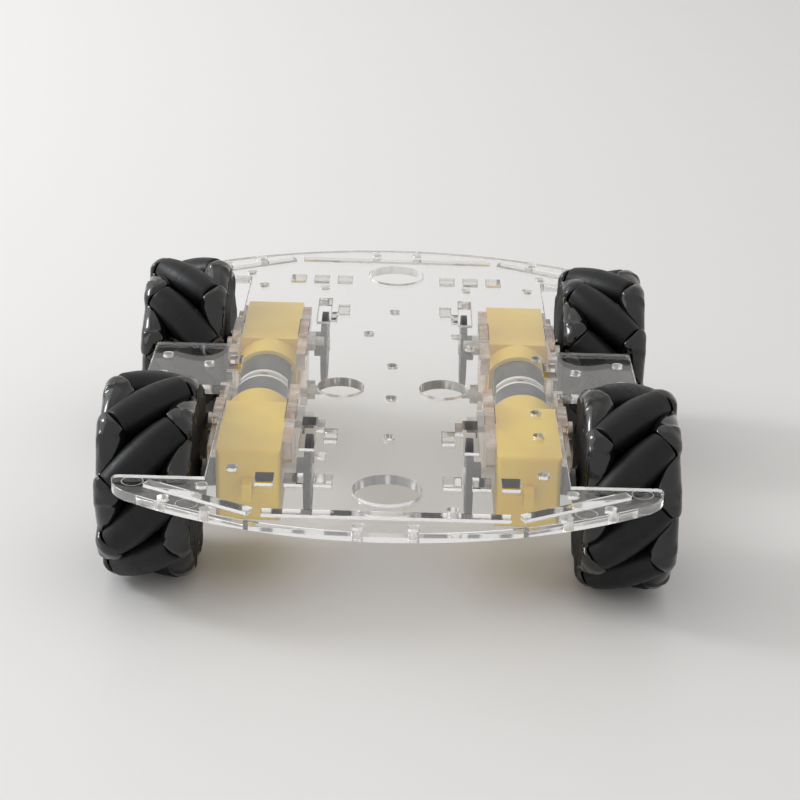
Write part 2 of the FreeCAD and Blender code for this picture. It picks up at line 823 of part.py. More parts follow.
def wheel_place(solid, side_x, side_y):
    """Puts a piece, built on the X axis with the outside of the chassis at +X, on its wheel's axle."""
    solid.Placement = Placement(ORIGIN, Rotation(Z_AXIS, 0 if side_x > 0 else 180))
    bind_place(solid, 0, size("wheelbase") / 2 * side_y, AXLE_Z)
    return solid


def make_disc(name, side_x, side_y):
    """The slotted encoder disc on the inner end of the output shaft."""
    body = new_body("encoder_disc_" + name)
    plate_end = size("disc_x") + size("disc_thick") / 2
    profile = new_sketch(body, "profile", "XY_Plane")
    bore = size("shaft_radius") + size("fit_gap")
    start = size("disc_x") - size("disc_thick") / 2
    polygon(profile, [
        (start, bore),
        (start, size("disc_radius")),
        (plate_end, size("disc_radius")),
        (plate_end, size("disc_boss_radius")),
        (size("disc_boss_end"), size("disc_boss_radius")),
        (size("disc_boss_end"), bore),
    ])
    turned(body, profile, "Revolution", "H_Axis")
    slit = new_sketch(body, "slit", "YZ_Plane", lift=start - 1)
    half = size("disc_slot_width") / 2
    box_outline(slit, size("disc_slot_in"), size("disc_slot_out"), -half, half)
    window = pocket(body, slit, size("disc_thick") + 2, reverse=True)
    doc.recompute()
    about_axle(body, [window], DISC_SLOTS, "slits")
    return wheel_place(body, side_x, side_y)


# ---------------------------------------------------------------- wheels

def hub_core(body):
    """The drum, its two side faces, the dish outside and the sleeve inside."""
    sketch = new_sketch(body, "core", "XY_Plane")
    half = size("hub_half")
    shoulder = half - size("hub_face_thick")
    bore = size("shaft_radius") + size("fit_gap")
    sleeve_end = -(half + size("hub_sleeve_length"))
    shaft_end = size("motor_x") + BOX_HALF + size("shaft_reach") - size("track") / 2 + 0.3
    polygon(sketch, [
        (sleeve_end, bore),
        (sleeve_end, size("hub_sleeve_radius")),
        (-half, size("hub_sleeve_radius")),
        (-half, size("hub_face_radius")),
        (-shoulder, size("hub_face_radius")),
        (-shoulder, size("hub_drum_radius")),
        (shoulder, size("hub_drum_radius")),
        (shoulder, size("hub_face_radius")),
        (half, size("hub_face_radius")),
        (half, size("hub_dish_radius")),
        (half - size("hub_dish_depth"), size("hub_dish_radius")),
        (half - size("hub_dish_depth"), size("hub_boss_radius")),
        (half - size("hub_boss_sink"), size("hub_boss_radius")),
        (half - size("hub_boss_sink"), size("hub_screw_radius")),
        (shaft_end, size("hub_screw_radius")),
        (shaft_end, bore),
    ])
    return turned(body, sketch, "Revolution", "H_Axis")


def hub_webs(body, slant):
    """The two ribs that carry a roller's lugs, one on each face of the hub."""
    webs = []
    for side, name in ((1, "outer_web"), (-1, "inner_web")):
        sketch = new_sketch(body, name, "YZ_Plane", lift=(size("hub_half") - size("hub_face_thick")) * side)
        way = slant * side
        box_outline(sketch, size("web_root"), ROLLER_RING + 1, size("web_near") * way, size("web_far") * way)
        webs.append(pad(body, sketch, size("hub_face_thick"), reverse=side < 0))
    return webs


def roller_plane(slant):
    """Turn that lays a sketch's X axis along a roller that sits at +Y."""
    return Rotation(Y_AXIS, -size("roller_tilt").value * slant)


def hub_lugs(body, slant):
    """The two round lugs at the ends of a roller, turned about the roller's own axis."""
    sketch = new_sketch(body, "lugs", "XY_Plane", turn=roller_plane(slant))
    start = size("lug_start")
    stop = start + size("lug_thick")
    radius = size("lug_radius")
    rounding = size("lug_round")
    for side in (-1, 1):
        lug_outline(sketch, side, start, stop, radius, rounding)
    return turned_about_roller(body, sketch, "Revolution")


def lug_outline(sketch, side, start, stop, radius, rounding):
    """Half section of one lug above the roller's axis, with a quarter round at its outer rim."""
    axis = ROLLER_RING
    corners = [(start, axis), (start, axis + radius), (stop - rounding, axis + radius),
               (stop, axis + radius - rounding), (stop, axis)]
    corners = [(x * side, y) for x, y in corners]
    lines = []
    for first, second in ((0, 1), (1, 2), (3, 4), (4, 0)):
        a = Vector(corners[first][0].value, corners[first][1].value, 0)
        b = Vector(corners[second][0].value, corners[second][1].value, 0)
        lines.append(sketch.addGeometry(Part.LineSegment(a, b), False))
    centre = Vector((stop - rounding).value * side, (axis + radius - rounding).value, 0)
    angles = (0, math.pi / 2) if side > 0 else (math.pi / 2, math.pi)
    arc = sketch.addGeometry(Part.ArcOfCircle(Part.Circle(centre, Z_AXIS, rounding.value), *angles), False)
    rim_end, face_end = (2, 1) if side > 0 else (1, 2)
    for first, first_end, second, second_end in (
        (lines[0], 2, lines[1], 1),
        (lines[1], 2, arc, rim_end),
        (arc, face_end, lines[2], 1),
        (lines[2], 2, lines[3], 1),
        (lines[3], 2, lines[0], 1),
    ):
        sketch.addConstraint(Sketcher.Constraint("Coincident", first, first_end, second, second_end))
    for line, corner in ((lines[0], 0), (lines[1], 1), (lines[3], 4)):
        pin_point(sketch, line, 1, *corners[corner])
    pin_point(sketch, lines[1], 2, *corners[2])
    pin_point(sketch, lines[2], 1, *corners[3])
    constrain(sketch, "Radius", (arc,), rounding)


def turned_about_roller(body, sketch, kind):
    """Turns a sketch in the roller's plane about the roller's axis."""
    reach = size("pin_half").value * 2
    axis = sketch.addGeometry(
        Part.LineSegment(Vector(-reach, ROLLER_RING.value, 0), Vector(reach, ROLLER_RING.value, 0)), True)
    sketch.addConstraint(Sketcher.Constraint("Horizontal", axis))
    constrain(sketch, "DistanceY", (-1, 1, axis, 1), ROLLER_RING)
    return turned(body, sketch, kind, "Axis0")


def hub_pin_bores(body, slant):
    sketch = new_sketch(body, "pin_bores", "XY_Plane", turn=roller_plane(slant))
    start = size("lug_start") - 1
    stop = size("pin_half") + 0.3
    bore = size("pin_radius") + size("pin_gap")
    for side in (-1, 1):
        box_outline(sketch, start * side, stop * side, ROLLER_RING, ROLLER_RING + bore)
    return turned_about_roller(body, sketch, "Groove")


def hub_roller_pockets(body, slant):
    """Room for the roller itself, where the ribs and faces come close to it."""
    sketch = new_sketch(body, "roller_room", "XY_Plane", turn=roller_plane(slant))
    half = size("lug_start")
    box_outline(sketch, -half, half, ROLLER_RING, ROLLER_RING + size("roller_radius") + 0.4)
    return turned_about_roller(body, sketch, "Groove")


def hub_trim(body):
    """Trims the lugs flush with the faces and inside the tread, with a rounded shoulder."""
    sketch = new_sketch(body, "trim", "XY_Plane")
    half = size("hub_half")
    tread = size("hub_trim_radius")
    rounding = size("hub_trim_fillet")
    far = size("wheel_radius") + 8
    side = half + 8
    low = size("hub_dish_radius") + 1
    points = [(-side, low), (-half, low), (-half, tread - rounding), (rounding - half, tread),
              (half - rounding, tread), (half, tread - rounding), (half, low), (side, low), (side, far),
              (-side, far)]
    lines = {}
    for first in (0, 1, 3, 5, 6, 7, 8, 9):
        second = (first + 1) % len(points)
        a = Vector(points[first][0].value, points[first][1].value, 0)
        b = Vector(points[second][0].value, points[second][1].value, 0)
        lines[first] = sketch.addGeometry(Part.LineSegment(a, b), False)
    shoulders = []
    for way, angles in ((-1, (math.pi / 2, math.pi)), (1, (0, math.pi / 2))):
        centre = Vector((half - rounding).value * way, (tread - rounding).value, 0)
        shoulders.append(sketch.addGeometry(
            Part.ArcOfCircle(Part.Circle(centre, Z_AXIS, rounding.value), *angles), False))
    left, right = shoulders
    for first, first_end, second, second_end in (
        (lines[0], 2, lines[1], 1), (lines[1], 2, left, 2), (left, 1, lines[3], 1), (lines[3], 2, right, 2),
        (right, 1, lines[5], 1), (lines[5], 2, lines[6], 1), (lines[6], 2, lines[7], 1),
        (lines[7], 2, lines[8], 1), (lines[8], 2, lines[9], 1), (lines[9], 2, lines[0], 1),
    ):
        sketch.addConstraint(Sketcher.Constraint("Coincident", first, first_end, second, second_end))
    for first in (0, 1, 3, 5, 6, 7, 8, 9):
        pin_point(sketch, lines[first], 1, *points[first])
    pin_point(sketch, lines[1], 2, *points[2])
    pin_point(sketch, lines[3], 2, *points[4])
    for arc in shoulders:
        constrain(sketch, "Radius", (arc,), rounding)
    return turned(body, sketch, "Groove", "H_Axis")


def make_hub(name, side_x, side_y, slant):
    """The wheel's glossy two-faced hub. It is built with the outside at +X and a roller at +Y."""
    body = new_body("wheel_hub_" + name)
    hub_core(body)
    features = hub_webs(body, slant) + [hub_lugs(body, slant), hub_roller_pockets(body, slant),
                                        hub_pin_bores(body, slant)]
    doc.recompute()
    about_axle(body, features, ROLLERS_PER_WHEEL, "lug_ring")
    hub_trim(body)
    turn = size(name + "_turn") if side_x > 0 else Size(180.0, "180") - size(name + "_turn")
    body.Placement = Placement(ORIGIN, Rotation(Z_AXIS, 0 if side_x > 0 else 180) * Rotation(X_AXIS, turn.value))
    bind_place(body, size("track") / 2 * side_x, size("wheelbase") / 2 * side_y, AXLE_Z)
    return body


def make_roller(name, number, side_x, side_y, slant):
    """One barrel roller with its axle pin, turned about X and laid at its place on the wheel."""
    body = new_body("roller_{}_{}".format(name, number + 1))
    sketch = new_sketch(body, "barrel", "XY_Plane")
    half = size("roller_half")
    pin = size("pin_half")
    pin_radius = size("pin_radius")
    lean = math.sin(math.radians(size("roller_tilt").value))
    ring = ROLLER_RING.value
    end_value = size("wheel_radius").value - math.hypot(ring, half.value * lean)
    end_text = "(sizes.wheel_radius - sqrt(pow({0}; 2) + pow({1} * sin(sizes.roller_tilt * 1 deg); 2)))".format(
        ROLLER_RING.text, half.text)
    end_radius = Size(end_value, end_text)
    points = [(half, end_radius), (half, pin_radius), (pin, pin_radius), (pin, 0), (-pin, 0),
              (-pin, pin_radius), (-half, pin_radius), (-half, end_radius)]
    points = [(as_size(x), as_size(y)) for x, y in points]
    lines = []
    for (x1, y1), (x2, y2) in zip(points, points[1:]):
        lines.append(sketch.addGeometry(
            Part.LineSegment(Vector(x1.value, y1.value, 0), Vector(x2.value, y2.value, 0)), False))
    crown = sketch.addGeometry(Part.Arc(
        Vector(half.value, end_value, 0), Vector(0, size("roller_radius").value, 0),
        Vector(-half.value, end_value, 0)), False)
    for first, second in zip(lines, lines[1:]):
        sketch.addConstraint(Sketcher.Constraint("Coincident", first, 2, second, 1))
    arc_right, arc_left = (1, 2)
    sketch.addConstraint(Sketcher.Constraint("Coincident", lines[0], 1, crown, arc_right))
    sketch.addConstraint(Sketcher.Constraint("Coincident", lines[-1], 2, crown, arc_left))
    for line, (x, y) in zip(lines, points):
        pin_point(sketch, line, 1, x, y)
    pin_point(sketch, lines[-1], 2, *points[-1])
    rise = size("roller_radius") - end_radius
    constrain(sketch, "Radius", (crown,), (half * half + rise * rise) / (rise * 2))
    turned(body, sketch, "Revolution", "H_Axis")
    angle = size(name + "_turn").value + 360 / ROLLERS_PER_WHEEL * number
    around = Rotation(X_AXIS, angle)
    body.Placement = Placement(ORIGIN, around * roller_plane(slant))
    spot = "(sizes.{}_turn + {}) * 1 deg".format(name, 360 / ROLLERS_PER_WHEEL * number)
    out_y = Size(ring * math.cos(math.radians(angle)), "({} * cos({}))".format(ROLLER_RING.text, spot))
    out_z = Size(ring * math.sin(math.radians(angle)), "({} * sin({}))".format(ROLLER_RING.text, spot))
    bind_place(body, size("track") / 2 * side_x, size("wheelbase") / 2 * side_y + out_y, AXLE_Z + out_z)
    return body


# ---------------------------------------------------------------- the whole chassis

def make_motor_side():
    """Everything that is bolted to the deck."""
    nodes = []
    brackets = []
    screws = []
    nuts = []
    cans = []
    caps = []
    straps = []
    terminals = []
    outer_face = size("motor_x") + BOX_HALF
    inner_face = size("motor_x") - BOX_HALF - size("bracket_thick")
    for name, (side_x, side_y, slant, turn) in WHEELS.items():
        nodes.append(make_gearbox(name, side_x, side_y))
        cans.append(make_can(name, side_x, side_y))
        caps.append(make_end_cap(name, side_x, side_y))
        straps.append(make_strap(name, side_x, side_y))
        for up in (1, -1):
            terminals.append(make_terminal(name, side_x, side_y, up))
        for place, near in (("inner", inner_face), ("outer", outer_face)):
            low_x = near if side_x > 0 else -(near + size("bracket_thick"))
            brackets.append(make_bracket("bracket_{}_{}".format(place, name), low_x, side_y))
        for place, y, z in fastener_places(side_x, side_y):
            screws.append(make_screw("screw_{}_{}".format(name, place), side_x, y, z))
            nuts.append(make_nut("nut_{}_{}".format(name, place), side_x, y, z))
    for name, solids in (("motor_brackets", brackets), ("bracket_screws", screws), ("bracket_nuts", nuts),
                         ("motor_cans", cans), ("motor_end_caps", caps), ("motor_straps", straps),
                         ("motor_terminals", terminals)):
        nodes.append(group(name, solids))
    return nodes


def make_wheels():
    nodes = []
    for name, (side_x, side_y, slant, turn) in WHEELS.items():
        nodes.append(make_hub(name, side_x, side_y, slant))
        nodes.append(make_shaft(name, side_x, side_y))
        nodes.append(make_disc(name, side_x, side_y))
        for number in range(ROLLERS_PER_WHEEL):
            nodes.append(make_roller(name, number, side_x, side_y, slant))
    return nodes


def check_and_write(nodes):
    doc.recompute()
    for thing in doc.Objects:
        if "Invalid" in thing.State or "Error" in thing.State:
            raise RuntimeError("{} failed: {}".format(thing.Name, thing.State))
    for node in nodes:
        if node.Shape.isNull() or not node.Shape.isValid():
            raise RuntimeError("{} has no valid shape".format(node.Label))
    os.makedirs("parts", exist_ok=True)
    for node in nodes:
        node.Shape.exportStep("parts/{}.step".format(node.Label))
        print("{:28s} solids {:2d} volume {:9.1f}".format(node.Label, len(node.Shape.Solids), node.Shape.Volume))


check_and_write(make_deck() + make_motor_side() + make_wheels())
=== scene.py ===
import json
import math

import bmesh
import bpy
from mathutils import Matrix, Vector
from mathutils.geometry import tessellate_polygon

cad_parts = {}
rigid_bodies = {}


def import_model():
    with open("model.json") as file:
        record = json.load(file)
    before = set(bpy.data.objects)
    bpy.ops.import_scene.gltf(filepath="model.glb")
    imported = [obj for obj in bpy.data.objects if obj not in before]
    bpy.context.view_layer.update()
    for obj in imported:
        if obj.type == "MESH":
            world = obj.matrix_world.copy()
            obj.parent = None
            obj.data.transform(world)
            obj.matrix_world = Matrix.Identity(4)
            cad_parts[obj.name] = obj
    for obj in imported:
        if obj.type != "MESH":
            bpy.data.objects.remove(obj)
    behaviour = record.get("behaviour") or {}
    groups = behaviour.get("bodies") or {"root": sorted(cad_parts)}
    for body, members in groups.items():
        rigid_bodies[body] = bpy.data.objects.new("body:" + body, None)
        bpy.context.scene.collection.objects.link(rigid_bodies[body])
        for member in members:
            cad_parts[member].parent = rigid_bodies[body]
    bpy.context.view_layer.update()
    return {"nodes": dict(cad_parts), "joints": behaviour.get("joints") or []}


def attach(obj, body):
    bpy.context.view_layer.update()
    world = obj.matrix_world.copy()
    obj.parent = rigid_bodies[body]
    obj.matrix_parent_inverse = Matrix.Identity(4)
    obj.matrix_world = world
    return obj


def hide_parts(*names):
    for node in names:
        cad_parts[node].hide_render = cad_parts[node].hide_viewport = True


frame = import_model()

MM = 0.001
WHEELS = ("front_left", "front_right", "rear_left", "rear_right")
SIDES = {"front_left": (-1, -1), "front_right": (1, -1), "rear_left": (-1, 1), "rear_right": (1, 1)}

AXLE_Z = 30.5
AXLE_X = 69.6
AXLE_Y = 52.8
MOTOR_X = 40.7
DECK_TOP = 45.1
DECK_THICK = 3.0
DECK_CHAMFER = 0.16
ROUND_COUNT = 28
BOX_HALF = 9.4
BRACKET_THICK = 3.0
WHEEL_RADIUS = 30.5
ROLLERS_PER_WHEEL = 9
ROLLER_RADIUS = 6.0
ROLLER_HALF = 12.5
ROLLER_CLEARANCE = 0.3
LUG_START = 12.9
PIN_RADIUS = 1.0
PIN_HALF = 15.0
FINGER_REACH = 13.9
FINGER_AXES = (3.7, 5.3, 5.5)
FINGER_SINKS = (1.5, 3.6, 5.8, 7.8)
FINGER_FACE = 13.75
FINGER_TAIL_STEPS = 14
FINGER_TAIL_TURN = 2.2
FINGER_TAIL_THICK = 4.9
FINGER_TAIL_THINNING = 0.13
FINGER_TAIL_RADIUS = 25.0
FINGER_TAIL_SINKING = 0.2
HUB_HALF = 13.7
HUB_TREAD = 30.1
HUB_SLEEVE_REACH = 7.0
HUB_VOXEL = 0.5
FLAT_ENOUGH = 0.93


# ---------------------------------------------------------------- materials

class Look:
    """A node material with short helpers for its noise, ramps and bumps."""

    def __init__(self, name, color, roughness, metallic=0.0, **sockets):
        self.material = bpy.data.materials.new(name)
        self.material.use_nodes = True
        self.tree = self.material.node_tree
        self.shader = self.tree.nodes["Principled BSDF"]
        self.output = self.tree.nodes["Material Output"]
        self.shader.inputs["Base Color"].default_value = (*color, 1)
        self.shader.inputs["Roughness"].default_value = roughness
        self.shader.inputs["Metallic"].default_value = metallic
        for socket, value in sockets.items():
            self.shader.inputs[socket.replace("_", " ")].default_value = value

    def add(self, kind, **settings):
        node = self.tree.nodes.new("ShaderNode" + kind)
        for key, value in settings.items():
            setattr(node, key, value)
        return node

    def link(self, source, target):
        self.tree.links.new(source, target)

    def place(self, stretch=(1, 1, 1), turn=(0, 0, 0)):
        """Coordinates in metres on the piece, stretched per axis."""
        coords = self.add("TexCoord")
        mapping = self.add("Mapping")
        mapping.inputs["Scale"].default_value = stretch
        mapping.inputs["Rotation"].default_value = turn
        self.link(coords.outputs["Object"], mapping.inputs["Vector"])
        return mapping.outputs["Vector"]

    def noise(self, scale, detail=4.0, rough=0.6, stretch=(1, 1, 1), turn=(0, 0, 0)):
        node = self.add("TexNoise")
        node.inputs["Scale"].default_value = scale
        node.inputs["Detail"].default_value = detail
        node.inputs["Roughness"].default_value = rough
        self.link(self.place(stretch, turn), node.inputs["Vector"])
        return node.outputs["Fac"]

    def spread(self, source, low, high, start=0.3, stop=0.7):
        """The source, between start and stop, mapped to low to high."""
        node = self.add("MapRange")
        for name, value in (("From Min", start), ("From Max", stop), ("To Min", low), ("To Max", high)):
            node.inputs[name].default_value = value
        self.link(source, node.inputs["Value"])
        return node.outputs["Result"]

    def tint(self, source, first, second, start=0.3, stop=0.7):
        """A colour between first and second, by the source."""
        ramp = self.add("ValToRGB")
        ramp.color_ramp.elements[0].position = start
        ramp.color_ramp.elements[0].color = (*first, 1)
        ramp.color_ramp.elements[1].position = stop
        ramp.color_ramp.elements[1].color = (*second, 1)
        self.link(source, ramp.inputs["Fac"])
        return ramp.outputs["Color"]

    def rough(self, source, low, high, start=0.3, stop=0.7):
        self.link(self.spread(source, low, high, start, stop), self.shader.inputs["Roughness"])

    def paint(self, source, first, second, start=0.3, stop=0.7):
        self.link(self.tint(source, first, second, start, stop), self.shader.inputs["Base Color"])

    def bump(self, source, height_mm, strength=1.0):
        previous = self.shader.inputs["Normal"]
        node = self.add("Bump")
        node.inputs["Distance"].default_value = height_mm * MM
        node.inputs["Strength"].default_value = strength
        self.link(source, node.inputs["Height"])
        if previous.is_linked:
            self.link(previous.links[0].from_socket, node.inputs["Normal"])
        self.link(node.outputs["Normal"], previous)

    def lets_light_through(self, shade):
        """Clear plastic that lamps shine through: shadow and diffuse rays pass straight on."""
        path = self.add("LightPath")
        either = self.add("Math", operation="MAXIMUM")
        clear = self.add("BsdfTransparent")
        clear.inputs["Color"].default_value = (*shade, 1)
        mix = self.add("MixShader")
        self.link(path.outputs["Is Shadow Ray"], either.inputs[0])
        self.link(path.outputs["Is Diffuse Ray"], either.inputs[1])
        self.link(either.outputs[0], mix.inputs["Fac"])
        self.link(self.shader.outputs[0], mix.inputs[1])
        self.link(clear.outputs[0], mix.inputs[2])
        self.link(mix.outputs[0], self.output.inputs["Surface"])


def make_looks():
    looks = {}

    deck = Look("acrylic_face", (0.985, 0.988, 0.988), 0.01, Transmission_Weight=1.0, IOR=1.49)
    deck.rough(deck.noise(60, 3), 0.0, 0.035, 0.45, 0.8)
    deck.lets_light_through((0.96, 0.955, 0.945))
    looks["deck"] = deck

    edge = Look("acrylic_cut_edge", (0.98, 0.98, 0.98), 0.1, Transmission_Weight=0.86, IOR=1.49)
    edge.rough(edge.noise(500, 2, stretch=(1, 1, 0.05)), 0.03, 0.16)
    edge.bump(edge.noise(500, 2, stretch=(1, 1, 0.04)), 0.02)
    edge.lets_light_through((0.9, 0.89, 0.88))
    looks["edge"] = edge

    hole = Look("acrylic_drilled_wall", (0.99, 0.99, 0.99), 0.2, Transmission_Weight=0.6, IOR=1.49)
    hole.paint(hole.noise(300, 1, stretch=(1, 1, 0.02)), (0.86, 0.86, 0.86), (0.99, 0.99, 0.99), 0.4, 0.5)
    hole.rough(hole.noise(300, 1, stretch=(1, 1, 0.02)), 0.06, 0.2)
    hole.lets_light_through((0.85, 0.85, 0.84))
    looks["hole"] = hole

    mark = Look("engraved_ring", (0.9, 0.9, 0.9), 0.5, Transmission_Weight=0.5, IOR=1.49, Alpha=0.45)
    mark.rough(mark.noise(2500, 2), 0.4, 0.7)
    looks["mark"] = mark

    bracket = Look("bracket_acrylic", (0.97, 0.9, 0.83), 0.05, Transmission_Weight=0.9, IOR=1.49)
    bracket.paint(bracket.noise(70, 3), (0.95, 0.86, 0.78), (0.98, 0.95, 0.92))
    bracket.rough(bracket.noise(300, 3), 0.03, 0.15)
    bracket.lets_light_through((0.86, 0.8, 0.74))
    looks["bracket"] = bracket

    bracket_edge = Look("bracket_cut_edge", (0.86, 0.72, 0.6), 0.3, Transmission_Weight=0.82, IOR=1.49)
    bracket_edge.paint(bracket_edge.noise(160, 1), (0.88, 0.7, 0.56), (0.98, 0.96, 0.93))
    bracket_edge.rough(bracket_edge.noise(300, 2), 0.12, 0.3)
    bracket_edge.lets_light_through((0.7, 0.62, 0.55))
    looks["bracket_edge"] = bracket_edge

    hub = Look("gloss_black_plastic", (0.002, 0.002, 0.0025), 0.1, Coat_Weight=0.3, Coat_Roughness=0.04)
    hub.rough(hub.noise(140, 4), 0.08, 0.18)
    hub.bump(hub.noise(260, 3), 0.02)
    hub.bump(hub.noise(4000, 2), 0.002)
    looks["hub"] = hub

    side = Look("satin_black_plastic", (0.006, 0.006, 0.007), 0.55, Specular_IOR_Level=0.08)
    side.rough(side.noise(300, 4), 0.48, 0.65)
    side.bump(side.noise(900, 3), 0.02)
    looks["hub_side"] = side

    rubber = Look("roller_rubber", (0.01, 0.0105, 0.012), 0.42, Specular_IOR_Level=0.3)
    rubber.paint(rubber.noise(220, 6, 0.7), (0.003, 0.0033, 0.004), (0.008, 0.0085, 0.01), 0.35, 0.75)
    rubber.rough(rubber.noise(500, 5), 0.36, 0.52)
    rubber.bump(rubber.noise(6000, 3), 0.004)
    rubber.bump(rubber.noise(900, 3), 0.006)
    looks["rubber"] = rubber

    yellow = Look("yellow_plastic", (0.75, 0.5, 0.005), 0.34,
                  Subsurface_Weight=0.05, Subsurface_Scale=0.003)
    yellow.paint(yellow.noise(40, 4), (0.68, 0.42, 0.004), (0.82, 0.58, 0.008))
    yellow.rough(yellow.noise(700, 4), 0.28, 0.42)
    yellow.bump(yellow.noise(3000, 2), 0.003)
    looks["yellow"] = yellow

    steel = Look("drawn_steel_painted_shade", (0.52, 0.55, 0.6), 0.3, 1.0)
    # Painted shade: the cans' colour is darkened to near black, far below drawn steel's own brightness,
    # standing in for the dim reflections on them; the noise only varies that dark tone.
    steel.paint(steel.noise(50, 4), (0.02, 0.026, 0.033), (0.08, 0.09, 0.105))
    steel.rough(steel.noise(300, 4, stretch=(1, 8, 1)), 0.24, 0.42)
    steel.bump(steel.noise(1200, 3, stretch=(1, 12, 1)), 0.003)
    looks["steel"] = steel

    screw = Look("zinc_plated_steel", (0.5, 0.47, 0.43), 0.32, 1.0)
    screw.paint(screw.noise(400, 4), (0.34, 0.31, 0.28), (0.6, 0.57, 0.53))
    screw.rough(screw.noise(800, 3), 0.25, 0.45)
    looks["screw"] = screw

    cap = Look("cap_plastic", (0.75, 0.74, 0.7), 0.45)
    cap.paint(cap.noise(150, 4), (0.68, 0.67, 0.63), (0.8, 0.79, 0.76))
    cap.rough(cap.noise(900, 3), 0.38, 0.55)
    looks["cap"] = cap

    strap = Look("clear_strap", (0.96, 0.97, 0.97), 0.1, Transmission_Weight=0.95, IOR=1.46)
    strap.rough(strap.noise(400, 3), 0.06, 0.2)
    strap.lets_light_through((0.85, 0.85, 0.85))
    looks["strap"] = strap

    brass = Look("brass_terminal", (0.7, 0.52, 0.25), 0.3, 1.0)
    brass.paint(brass.noise(900, 3), (0.6, 0.42, 0.2), (0.78, 0.6, 0.32))
    brass.rough(brass.noise(1200, 3), 0.22, 0.4)
    looks["brass"] = brass

    nylon = Look("white_nylon", (0.8, 0.79, 0.74), 0.42, Subsurface_Weight=0.15, Subsurface_Scale=0.002)
    nylon.paint(nylon.noise(200, 3), (0.75, 0.74, 0.69), (0.83, 0.82, 0.78))
    nylon.rough(nylon.noise(900, 3), 0.35, 0.5)
    looks["nylon"] = nylon

    disc = Look("black_disc_plastic", (0.018, 0.018, 0.02), 0.38)
    disc.paint(disc.noise(300, 4), (0.005, 0.005, 0.006), (0.014, 0.014, 0.016))
    disc.rough(disc.noise(1200, 3), 0.3, 0.5)
    disc.bump(disc.noise(4000, 2), 0.002)
    looks["disc"] = disc

    return {name: look.material for name, look in looks.items()}


LOOKS = make_looks()


# ---------------------------------------------------------------- mesh helpers

def finish_piece(name, mesh, look, body, nodes=(), smooth_angle=30):
    """Links a mesh, already in the row frame in metres, and lets it ride on its body."""
    mesh.shade_smooth()
    mesh.set_sharp_from_angle(angle=math.radians(smooth_angle))
    for one in (look if isinstance(look, (list, tuple)) else [look]):
        mesh.materials.append(LOOKS[one])
    piece = bpy.data.objects.new(name, mesh)
    bpy.context.scene.collection.objects.link(piece)
    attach(piece, body)
    if nodes:
        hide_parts(*nodes)
    return piece


def mesh_of(name, bm, matrix=None):
    """A mesh from a bmesh made in millimetres, moved by matrix and turned to metres."""
    if matrix is not None:
        bm.transform(matrix)
    bm.transform(Matrix.Scale(MM, 4))
    bmesh.ops.recalc_face_normals(bm, faces=bm.faces)
    mesh = bpy.data.meshes.new(name)
    bm.to_mesh(mesh)
    bm.free()
    return mesh


def arc(centre, radius, start, stop, count):
    """Points on an arc, with angles in degrees."""
    points = []
    for i in range(count + 1):
        angle = math.radians(start + (stop - start) * i / count)
        points.append((centre[0] + radius * math.cos(angle), centre[1] + radius * math.sin(angle)))
    return points


def ring(x, y, radius, count=40):
    return arc((x, y), radius, 0, 360, count)[:-1]


def box_loop(x, y, width, length):
    return [(x - width / 2, y - length / 2), (x + width / 2, y - length / 2),
            (x + width / 2, y + length / 2), (x - width / 2, y + length / 2)]


def area(loop):
    return sum(a[0] * b[1] - b[0] * a[1] for a, b in zip(loop, loop[1:] + loop[:1])) / 2


def shifted(loop, distance):
    """The loop moved towards its left side, with its corners kept sharp."""
    moved = []
    for i, (x, y) in enumerate(loop):
        before = Vector((x, y)) - Vector(loop[i - 1])
        after = Vector(loop[(i + 1) % len(loop)]) - Vector((x, y))
        first = Vector((-before.y, before.x)).normalized()
        second = Vector((-after.y, after.x)).normalized()
        middle = (first + second).normalized()
        reach = distance / max(middle.dot(first), 0.3)
        moved.append((x + middle.x * reach, y + middle.y * reach))
    return moved


def cut_sheet(outline, holes, low, high, chamfer):
    """A sheet with small chamfers. Its faces use material 0, its cut walls 1 and its drilled holes 2."""
    loops = [outline if area(outline) > 0 else outline[::-1]]
    loops += [hole if area(hole) < 0 else hole[::-1] for hole in holes]
    bm = bmesh.new()
    inner = [shifted(loop, chamfer) for loop in loops]
    levels = []
    for shape, height in ((inner, high), (loops, high - chamfer), (loops, low + chamfer), (inner, low)):
        levels.append([[bm.verts.new((x, y, height)) for x, y in loop] for loop in shape])
    for upper, lower in zip(levels, levels[1:]):
        for loop, top, bottom in zip(loops, upper, lower):
            wall = 2 if len(loop) >= ROUND_COUNT and loop is not loops[0] else 1
            for i in range(len(top)):
                k = (i + 1) % len(top)
                bm.faces.new((top[i], bottom[i], bottom[k], top[k])).material_index = wall
    flat = [[Vector((x, y, 0)) for x, y in loop] for loop in inner]
    for level in (levels[0], levels[-1]):
        corners = [vertex for loop in level for vertex in loop]
        for triangle in tessellate_polygon(flat):
            bm.faces.new([corners[i] for i in triangle])
    return bm


def lathe(profile, count):
    """A closed solid turned about X from (x, radius) points that start and end on the axis."""
    bm = bmesh.new()
    rings = []
    for x, radius in profile:
        if radius == 0:
            rings.append([bm.verts.new((x, 0, 0))])
            continue
        points = arc((0, 0), radius, 0, 360, count)[:-1]
        rings.append([bm.verts.new((x, y, z)) for y, z in points])
    for first, second in zip(rings, rings[1:]):
        for i in range(count):
            k = (i + 1) % count
            corners = [first[i % len(first)], first[k % len(first)], second[k % len(second)],
                       second[i % len(second)]]
            unique = list(dict.fromkeys(corners))
            if len(unique) > 2:
                bm.faces.new(unique)
    return bm


def joined(parts):
    """One bmesh out of several."""
    whole = bmesh.new()
    for part in parts:
        mesh = bpy.data.meshes.new("part")
        part.to_mesh(mesh)
        part.free()
        whole.from_mesh(mesh)
        bpy.data.meshes.remove(mesh)
    return whole


# ---------------------------------------------------------------- deck

